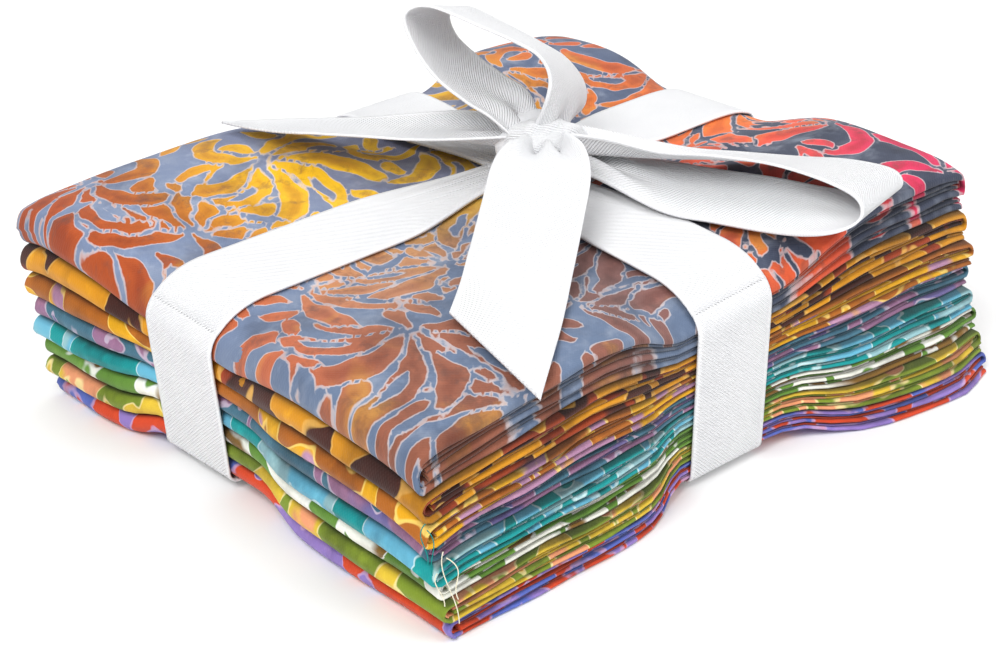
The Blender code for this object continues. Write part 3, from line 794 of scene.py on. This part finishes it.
def drawn_batik(quarter):
    """The top quarter, whose figure is the one kept on its mesh."""
    finish = cotton_finish(quarter.node + "_batik")
    place = finish.flat_place()
    ragged = finish.noise(place, 700.0, 2.0, 0.6)
    distance = finish.kept("figure", 2) + (ragged - 0.5) * 0.3
    figure_dye = finish.kept("figure_dye")
    ground_dye = finish.kept("ground_dye")
    drift = finish.noise(place, 38.0, 3.0, 0.55, 0.8)
    figure_dye = finish.blend(drift.between(0.56, 0.74) * 0.55, figure_dye, quarter.second, "MIX")
    deep = finish.blend(distance.between(-2.8, -0.8), (0.70, 0.58, 0.54), (1.0, 1.0, 1.0))
    figure_dye = finish.blend(0.8, figure_dye, deep, "MULTIPLY")
    stains = finish.noise(place, 120.0, 4.0, 0.7, 0.4)
    figure_dye = finish.blend(stains.between(0.50, 0.66) * 0.45, figure_dye, (0.10, 0.05, 0.04))
    ground_light = finish.noise(place, 90.0, 3.0, 0.6, 0.5)
    ground_dye = finish.blend(ground_light.between(0.45, 0.75) * 0.5, ground_dye, (0.30, 0.34, 0.42))
    inside = distance.between(0.10, -0.10)
    colour = finish.blend(inside, ground_dye, figure_dye)
    line = 1.0 - abs(distance + 0.05).between(0.06, 0.26)
    colour = finish.blend(line * 0.60, colour, quarter.line)
    colour = mottled(finish, place, colour, 0.60)
    # Painted shade: the colour is darkened in the gaps between quarters, strips and plies.
    colour = finish.blend(1.0, colour, finish.kept("shade"), "MULTIPLY")
    finish.feed("Base Color", colour)
    finish.feed("Normal", woven_bump(finish, place, ragged * 0.4))
    return finish.material


for index, (piece, _, _) in enumerate(cloths):
    last = index == PILE_QUARTERS - 1
    finish = drawn_batik(QUARTERS[index]) if last else noise_batik(index, QUARTERS[index])
    piece.data.materials.append(finish)
print("batik on", len(cloths), "quarters")

# %% [markdown]
# ## The ribbon
#
# Twill tape is woven on the slant, about half a millimetre thick, with a firm edge. It goes
# round the pile one way, round it the other way, and ends in a knot, two loops and two ends.
# Every stretch is a strip: a middle line, the way its width points, and how much of the width
# is spread. Near the knot the tape is gathered, and what the width loses goes into pleats.

# %% Stations of the bow, in the same places as the solid's
Station = namedtuple("Station", "x y z heading rise spread cup")
BIG_LOOP = (
    Station(0.0140, 0.0070, 0.0610, -168, 0, 0.45, 0.0),
    Station(0.0135, 0.0140, 0.0680, -164, 0, 0.80, 0.3),
    Station(0.0112, 0.0208, 0.0710, -158, 3, 0.95, 0.6),
    Station(0.0090, 0.0290, 0.0755, -159, 7, 1.0, 0.5),
    Station(0.0080, 0.0360, 0.0815, -158, 12, 1.0, 0.2),
    Station(0.0085, 0.0393, 0.0880, -160, 16, 1.0, 0.0),
    Station(0.0120, 0.0345, 0.0905, -157, 18, 1.0, 0.0),
    Station(0.0179, 0.0228, 0.0870, -150, 18, 1.0, 0.2),
    Station(0.0216, 0.0144, 0.0842, -151, 20, 1.0, 0.3),
    Station(0.0248, 0.0090, 0.0807, -152, 21, 1.0, 0.2),
    Station(0.0257, 0.0046, 0.0756, -157, 23, 1.0, 0.2),
    Station(0.0239, 0.0027, 0.0700, -160, 23, 0.95, 0.3),
    Station(0.0200, 0.0040, 0.0630, -161, 15, 0.6, 0.3),
)
LOW_LOOP = (
    Station(0.0200, 0.0000, 0.0585, -150, 5, 0.45, 0.0),
    Station(0.0245, -0.0090, 0.0575, -147, 4, 0.65, 0.2),
    Station(0.0277, -0.0268, 0.0560, -138, -6, 1.0, 0.3),
    Station(0.0325, -0.0404, 0.0559, -137, -8, 1.0, 0.2),
    Station(0.0367, -0.0563, 0.0569, -134, -9, 1.0, 0.0),
    Station(0.0401, -0.0688, 0.0583, -144, -3, 1.0, 0.0),
    Station(0.0453, -0.0768, 0.0592, -157, 4, 1.0, 0.0),
    Station(0.0506, -0.0783, 0.0609, -164, 4, 1.0, 0.0),
    Station(0.0532, -0.0740, 0.0633, -163, 5, 1.0, 0.0),
    Station(0.0513, -0.0637, 0.0640, -157, 10, 1.0, 0.1),
    Station(0.0466, -0.0512, 0.0638, -158, 17, 1.0, 0.2),
    Station(0.0403, -0.0376, 0.0627, -158, 19, 1.0, 0.4),
    Station(0.0340, -0.0250, 0.0612, -155, 18, 0.95, 0.6),
    Station(0.0270, -0.0110, 0.0612, -149, 14, 0.65, 0.8),
    Station(0.0220, -0.0020, 0.0615, -149, 8, 0.45, 0.5),
)
FRONT_TAIL = (
    Station(0.0200, 0.0080, 0.0600, -52, 5, 0.40, 0.2),
    Station(0.0150, 0.0015, 0.0612, -52, 4, 0.42, 0.6),
    Station(0.0090, -0.0045, 0.0642, -54, 3, 0.52, 0.7),
    Station(0.0030, -0.0105, 0.0662, -56, 2, 0.80, 0.6),
    Station(-0.0045, -0.0170, 0.0652, -58, 1, 0.98, 0.3),
    Station(-0.0160, -0.0260, 0.0610, -58, 0, 1.0, 0.1),
    Station(-0.0303, -0.0373, 0.0572, -58, -1, 1.0, 0.0),
    Station(-0.0449, -0.0490, 0.0547, -58, -3, 1.0, 0.0),
    Station(-0.0615, -0.0616, 0.0527, -58, -5, 1.0, 0.0),
)
BACK_TAIL = (
    Station(0.0140, 0.0090, 0.0615, -140, 3, 0.50, 0.2),
    Station(0.0070, 0.0200, 0.0618, -140, 2, 0.85, 0.6),
    Station(-0.0020, 0.0310, 0.0610, -140, 6, 1.0, 0.7),
    Station(-0.0110, 0.0430, 0.0600, -140, 11, 1.0, 0.6),
    Station(-0.0214, 0.0542, 0.0599, -140, 14, 1.0, 0.4),
    Station(-0.0303, 0.0615, 0.0603, -140, 16, 1.0, 0.2),
)
TAIL_CUT = 0.0130
CUT_FROM = 0.6
PLEATS = 2.2
PLEAT_START = 0.8
print("bow stations:", sum(len(rows) for rows in (BIG_LOOP, LOW_LOOP, FRONT_TAIL, BACK_TAIL)))


# %% Strips of tape from stations
def smooth_stations(rows, steps):
    """A smooth curve through the rows, as an array with one row for each step."""
    table = np.array(rows)
    table = np.concatenate((table[:1], table, table[-1:]))
    stations = []
    for k in range(1, len(table) - 2):
        a, b, c, d = table[k - 1:k + 3]
        for t in np.arange(steps) / steps:
            cubic = (3 * b - 3 * c + d - a) * t ** 3
            stations.append(0.5 * (2 * b + (c - a) * t + (2 * a - 5 * b + 4 * c - d) * t * t + cubic))
    return np.array(stations + [table[-2]])


def unit(vectors):
    return vectors / np.linalg.norm(vectors, axis=-1, keepdims=True)


def tape_strip(middles, across, spread, cup, columns, slant=None):
    """The two skins of a strip, and each point's place on the flat tape."""
    along = unit(np.gradient(middles, axis=0))
    up = unit(np.cross(along, across))
    t = np.linspace(-0.5, 0.5, columns)
    lost = 1.0 - spread
    pleats = 0.0042 * lost[:, None] * np.sin(t[None, :] * 2.0 * math.pi * PLEATS + PLEAT_START)
    cupped = 0.0030 * cup[:, None] * (4.0 * t[None, :] ** 2 - 0.33)
    reach = t[None, :, None] * RIBBON_WIDTH * spread[:, None, None]
    surface = middles[:, None, :] + across[:, None, :] * reach
    surface = surface + up[:, None, :] * (pleats + cupped)[..., None]
    if slant is not None:
        surface = surface + along[:, None, :] * (2.0 * t[None, :, None] * slant[:, None, None])
    normals = unit(np.cross(np.gradient(surface, axis=0), np.gradient(surface, axis=1)))
    length = np.concatenate(([0.0], np.cumsum(np.linalg.norm(np.diff(middles, axis=0), axis=1))))
    flat = np.stack(np.broadcast_arrays(length[:, None], t[None, :] * RIBBON_WIDTH), axis=-1)
    half = 0.5 * RIBBON_THICKNESS
    return surface + half * normals, surface - half * normals, flat


def bow_strip(name, rows, cut=0.0):
    stations = smooth_stations(rows, 8)
    heading, rise = np.radians(stations[:, 3]), np.radians(stations[:, 4])
    across = np.stack((np.cos(rise) * np.cos(heading), np.cos(rise) * np.sin(heading), np.sin(rise)), axis=-1)
    share = np.arange(len(stations)) / (len(stations) - 1)
    slant = cut * ease((share - CUT_FROM) / (1.0 - CUT_FROM))
    skins = tape_strip(stations[:, :3] + CENTRING, across, stations[:, 5], stations[:, 6], 25, slant)
    return closed_sheet(name, *skins)


bow = [
    bow_strip("big_loop_tape", BIG_LOOP),
    bow_strip("low_loop_tape", LOW_LOOP),
    bow_strip("front_end_tape", FRONT_TAIL, TAIL_CUT),
    bow_strip("back_end_tape", BACK_TAIL, -TAIL_CUT),
]
print("bow strips:", ", ".join(piece.name for piece in bow))


# %% The two bands round the pile
BAND_CORNER = 0.0026
GATHERED = 0.40
GATHER_START = 0.006
GATHER_REACH = 0.040


def round_the_pile(half, lift):
    """The tape's way round the loose pile, seen along one band."""
    corner = BAND_CORNER
    inner = RIBBON_CLEAR + lift
    side = half + RIBBON_CLEAR
    low, high = -inner, PILE_HEIGHT + inner
    flat = np.linspace(-side + corner, side - corner, 61)
    upright = np.linspace(high - corner, low + corner, 21)
    places = straight(flat, high, 1.0)[:-1]
    places += round_fold(side - corner, high - corner, corner, 90, 0, 6)[:-1]
    places += [Place(side, float(v), 1.0, 0.0) for v in upright[:-1]]
    places += round_fold(side - corner, low + corner, corner, 0, -90, 6)[:-1]
    places += straight(flat[::-1], low, -1.0)[:-1]
    places += round_fold(-side + corner, low + corner, corner, 270, 180, 6)[:-1]
    places += [Place(-side, float(v), -1.0, 0.0) for v in upright[::-1][:-1]]
    places += round_fold(-side + corner, high - corner, corner, 180, 90, 6)
    return places


def gathered(place, level, knot):
    """How much of the tape's width is spread: full round the pile, little where it nears the knot."""
    near = 1.0 - ease((np.abs(place - knot) - GATHER_START) / GATHER_REACH)
    on_top = ease((level - 0.9 * PILE_HEIGHT) / (0.1 * PILE_HEIGHT))
    return 1.0 - (1.0 - GATHERED) * near * on_top


def band(name, along_x):
    half, lift = (HALF_LENGTH, 0.0) if along_x else (HALF_WIDTH, CROSS_LIFT)
    centre, knot = (RIBBON_Y, RIBBON_X) if along_x else (RIBBON_X, RIBBON_Y)
    place, level, out_place, out_level = (np.array(v)[:, None] for v in zip(*round_the_pile(half, lift)))
    t = np.linspace(-0.5, 0.5, 17)[None, :]
    spread = gathered(place, level, knot)
    lean = LEAN[1] if along_x else LEAN[0]
    hang = 2.0 * lean * (np.clip(level / PILE_HEIGHT, 0.0, 1.0) - 1.0)
    across = centre + t * RIBBON_WIDTH * spread + hang
    pleats = 0.0020 * (1.0 - spread) * np.sin(t * 2.0 * math.pi * PLEATS + PLEAT_START)
    skins = []
    for side in (0.5, -0.5):
        out = side * RIBBON_THICKNESS + np.abs(pleats)
        a, b = place + out * out_place, level + out * out_level
        x, y = (a, across) if along_x else (across, a)
        x, y, b = np.broadcast_arrays(x, y, b)
        skins.append(settle(x, y, b))
    middle = 0.5 * (skins[0] + skins[1])[:, 8]
    length = np.concatenate(([0.0], np.cumsum(np.linalg.norm(np.diff(middle, axis=0), axis=1))))
    flat = np.stack(np.broadcast_arrays(length[:, None], t * RIBBON_WIDTH), axis=-1)
    return closed_sheet(name, skins[0], skins[1], flat)


bands = [band("long_band_tape", True), band("short_band_tape", False)]
print("bands:", ", ".join(piece.name for piece in bands))

# %% [markdown]
# The knot is where the tape is drawn tight round itself: a small lump with pleats that run
# over it. It is a rounded form whose surface is pushed in along a few furrows.

# %% The knot
KNOT_CENTRE = (0.0165, 0.0050, 0.0597)
KNOT_HALF_SIZE = (0.0112, 0.0106, 0.0078)


def knot_lump(name):
    mesh = bmesh.new()
    bmesh.ops.create_uvsphere(mesh, u_segments=72, v_segments=40, radius=1.0)
    for vert in mesh.verts:
        x, y, z = vert.co
        furrows = 0.09 * math.cos(8.0 * (0.55 * x + 0.8 * y) + 2.2 * z) + 0.03 * math.cos(17.0 * y - 6.0 * x)
        flat = 1.0 - 0.10 * math.cos(3.0 * math.atan2(y, x)) + furrows
        place = Vector((x * flat, y * flat, z * (1.0 + furrows)))
        vert.co = Vector(c + s * v + d for c, s, v, d in zip(KNOT_CENTRE, KNOT_HALF_SIZE, place, CENTRING))
    data = bpy.data.meshes.new(name)
    mesh.to_mesh(data)
    mesh.free()
    data.polygons.foreach_set("use_smooth", np.ones(len(data.polygons), dtype=bool))
    layer = data.uv_layers[0] if data.uv_layers else data.uv_layers.new(name="flat")
    layer.name = "flat"
    for loop in data.loops:
        place = data.vertices[loop.vertex_index].co
        layer.data[loop.index].uv = (place.x + place.z, place.y)
    piece = bpy.data.objects.new(name, data)
    bpy.context.scene.collection.objects.link(piece)
    return piece


knot = knot_lump("knot_tape")
print(knot.name, len(knot.data.polygons), "faces")

# %% [markdown]
# ## The tape's finish
#
# White cotton twill: fine ribs that run on the slant, a denser edge, and a slight lustre on
# the ribs from a lower roughness there, with a painted highlight that makes the rib crests
# paler. The tape is plain.


# %% Twill tape
def twill_finish():
    finish = Finish("white_twill", Roughness=0.62, Specular_IOR_Level=0.35, Sheen_Weight=0.15)
    place = finish.flat_place()
    along = finish.add("ShaderNodeSeparateXYZ", None, {"Vector": place})
    across = finish.add("ShaderNodeSeparateXYZ", None, {"Vector": place}, output=1)
    ribs = ((along + across * 0.9) * 6600.0).maths("SINE")
    yarns = finish.noise(place, 1600.0, 2.0, 0.6)
    edge = abs(across).between(0.0112, 0.0122)
    height = ribs * (1.0 - edge) * 0.6 + yarns * 0.7 + edge * 0.5
    bump = finish.add("ShaderNodeBump", None, {"Strength": 0.75, "Distance": 0.0003, "Height": height})
    clouds = finish.noise(place, 60.0, 2.0, 0.5)
    tone = finish.blend(clouds.between(0.35, 0.7) * 0.5, (0.80, 0.805, 0.82), (0.73, 0.74, 0.765))
    # Painted highlight: the colour is paler on the crests of the ribs.
    tone = finish.blend(ribs.between(-1.0, 1.0) * 0.4, tone, (0.90, 0.90, 0.915))
    finish.feed("Base Color", tone)
    finish.feed("Roughness", 0.66 - ribs.between(-1.0, 1.0) * 0.10)
    finish.feed("Normal", bump)
    return finish.material


twill = twill_finish()
for piece in bow + bands + [knot]:
    piece.data.materials.clear()
    piece.data.materials.append(twill)
    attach(piece, "root")
    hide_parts("ribbon")

# %% [markdown]
# ## Loose threads
#
# Cut cotton frays. A few threads hang at the front corner, pale ones and one bunch of teal.
# Each is a bent line of points, and one Geometry Nodes group gives the lines their thickness.

# %% Threads, thickened by a Geometry Nodes group
Thread = namedtuple("Thread", "x y z to_x to_y to_z sway")
PALE_THREADS = (
    Thread(-0.0926, -0.0795, 0.0240, -0.0925, -0.0829, 0.0075, 0.0010),
    Thread(-0.0922, -0.0800, 0.0225, -0.0915, -0.0846, 0.0140, -0.0012),
    Thread(-0.0930, -0.0780, 0.0180, -0.0938, -0.0800, 0.0110, 0.0008),
)
TEAL_THREADS = (
    Thread(-0.0944, -0.0760, 0.0300, -0.0966, -0.0778, 0.0215, 0.0009),
    Thread(-0.0942, -0.0762, 0.0285, -0.0948, -0.0796, 0.0190, -0.0008),
)
THREAD_RADIUS = 0.00012


def bent_lines(name, rows, count=16):
    points = []
    edges = []
    for row in rows:
        first = len(points)
        for t in np.linspace(0.0, 1.0, count):
            sway = row.sway * math.sin(1.6 * math.pi * t)
            x = row.x + (row.to_x - row.x) * t - 0.7 * sway
            y = row.y + (row.to_y - row.y) * t + 0.7 * sway
            z = row.z + (row.to_z - row.z) * t ** 1.3
            points.append(tuple(Vector((x, y, z)) + Vector(CENTRING)))
        edges += [(k, k + 1) for k in range(first, first + count - 1)]
    mesh = bpy.data.meshes.new(name)
    mesh.from_pydata(points, edges, [])
    piece = bpy.data.objects.new(name, mesh)
    bpy.context.scene.collection.objects.link(piece)
    return piece


def thickening():
    """A group that turns lines into round threads; gives the group and its two named inputs."""
    group = bpy.data.node_groups.new("thread_thickness", "GeometryNodeTree")
    group.interface.new_socket("Lines", in_out="INPUT", socket_type="NodeSocketGeometry")
    radius = group.interface.new_socket("Thread radius", in_out="INPUT", socket_type="NodeSocketFloat")
    material = group.interface.new_socket("Thread dye", in_out="INPUT", socket_type="NodeSocketMaterial")
    group.interface.new_socket("Threads", in_out="OUTPUT", socket_type="NodeSocketGeometry")
    kinds = ("NodeGroupInput", "GeometryNodeMeshToCurve", "GeometryNodeCurvePrimitiveCircle",
             "GeometryNodeCurveToMesh", "GeometryNodeRealizeInstances", "GeometryNodeSetMaterial",
             "NodeGroupOutput")
    start, lines, ring, tubes, whole, dyed, end = (group.nodes.new(kind) for kind in kinds)
    ring.inputs["Resolution"].default_value = 6
    tubes.inputs["Fill Caps"].default_value = True
    for source, output, target, socket in (
            (start, "Lines", lines, "Mesh"), (start, "Thread radius", ring, "Radius"),
            (lines, "Curve", tubes, "Curve"), (ring, "Curve", tubes, "Profile Curve"),
            (tubes, "Mesh", whole, "Geometry"), (whole, "Geometry", dyed, "Geometry"),
            (start, "Thread dye", dyed, "Material"), (dyed, "Geometry", end, "Threads")):
        group.links.new(source.outputs[output], target.inputs[socket])
    return group, radius.identifier, material.identifier


def loose_threads(name, rows, colour, group_parts):
    group, radius, material = group_parts
    finish = Finish(name + "_dye", Roughness=0.9, Specular_IOR_Level=0.2)
    finish.feed("Base Color", colour)
    piece = bent_lines(name, rows)
    modifier = piece.modifiers.new("thickness", "NODES")
    modifier.node_group = group
    modifier[radius] = THREAD_RADIUS
    modifier[material] = finish.material
    evaluated = piece.evaluated_get(bpy.context.evaluated_depsgraph_get())
    baked = bpy.data.meshes.new_from_object(evaluated)
    piece.modifiers.clear()
    piece.data = baked
    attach(piece, "root")
    return piece


group_parts = thickening()
threads = [
    loose_threads("pale_threads", PALE_THREADS, dye(226, 220, 196), group_parts),
    loose_threads("teal_threads", TEAL_THREADS, dye(24, 130, 126), group_parts),
]
print("threads:", ", ".join("%s %d faces" % (piece.name, len(piece.data.polygons)) for piece in threads))

# %% [markdown]
# ## The floor, the light and the camera
#
# The bundle stands on a pale floor in soft light from above, with a broad lamp on each side.
# The camera looks down at the corner of the pile from a little over half a metre away.


# %% Floor, lamps and camera
def pale_floor():
    mesh = bpy.data.meshes.new("floor")
    size = 4.0
    corners = [(-size, -size, 0), (size, -size, 0), (size, size, 0), (-size, size, 0)]
    mesh.from_pydata(corners, [], [(0, 1, 2, 3)])
    floor = bpy.data.objects.new("floor", mesh)
    floor.location.z = -0.0003
    bpy.context.scene.collection.objects.link(floor)
    finish = Finish("pale_floor", Roughness=0.9, Specular_IOR_Level=0.1)
    finish.feed("Base Color", (0.90, 0.90, 0.90))
    mesh.materials.append(finish.material)
    return floor


def lamp(name, place, aim, power, size):
    data = bpy.data.lights.new(name, "AREA")
    data.energy = power
    data.size = size
    item = bpy.data.objects.new(name, data)
    item.location = place
    item.rotation_euler = (Vector(aim) - Vector(place)).to_track_quat("-Z", "Y").to_euler()
    bpy.context.scene.collection.objects.link(item)
    return item


def look_camera():
    data = bpy.data.cameras.new("camera")
    data.sensor_width = 36.0
    data.lens = 36.0 * 2.2735
    data.clip_start = 0.01
    item = bpy.data.objects.new("camera", data)
    azimuth, elevation, distance = math.radians(-42.93), math.radians(27.19), 0.5972
    back = Vector((math.sin(azimuth) * math.cos(elevation), -math.cos(azimuth) * math.cos(elevation),
                   math.sin(elevation)))
    right = Vector((0.0, 0.0, 1.0)).cross(back).normalized()
    up = back.cross(right)
    item.location = back * distance - right * 0.0017 + up * 0.0128 + Vector(CENTRING)
    item.rotation_euler = back.to_track_quat("Z", "Y").to_euler()
    bpy.context.scene.collection.objects.link(item)
    bpy.context.scene.camera = item
    return item


floor = pale_floor()
lamps = [
    lamp("key_lamp", (-0.9, -0.3, 1.1), (0.0, 0.0, 0.0), 14.0, 0.7),
    lamp("fill_lamp", (0.5, -1.1, 0.8), (0.0, 0.0, 0.0), 8.5, 0.9),
    lamp("top_lamp", (0.2, 0.4, 1.4), (0.0, 0.0, 0.0), 7.5, 1.0),
]
world = bpy.data.worlds.new("studio")
world.use_nodes = True
world.node_tree.nodes["Background"].inputs["Color"].default_value = (1.0, 1.0, 1.0, 1.0)
world.node_tree.nodes["Background"].inputs["Strength"].default_value = 0.48
bpy.context.scene.world = world
bpy.context.scene.view_settings.view_transform = "Standard"
camera = look_camera()
print("camera at", [round(v, 3) for v in camera.location])
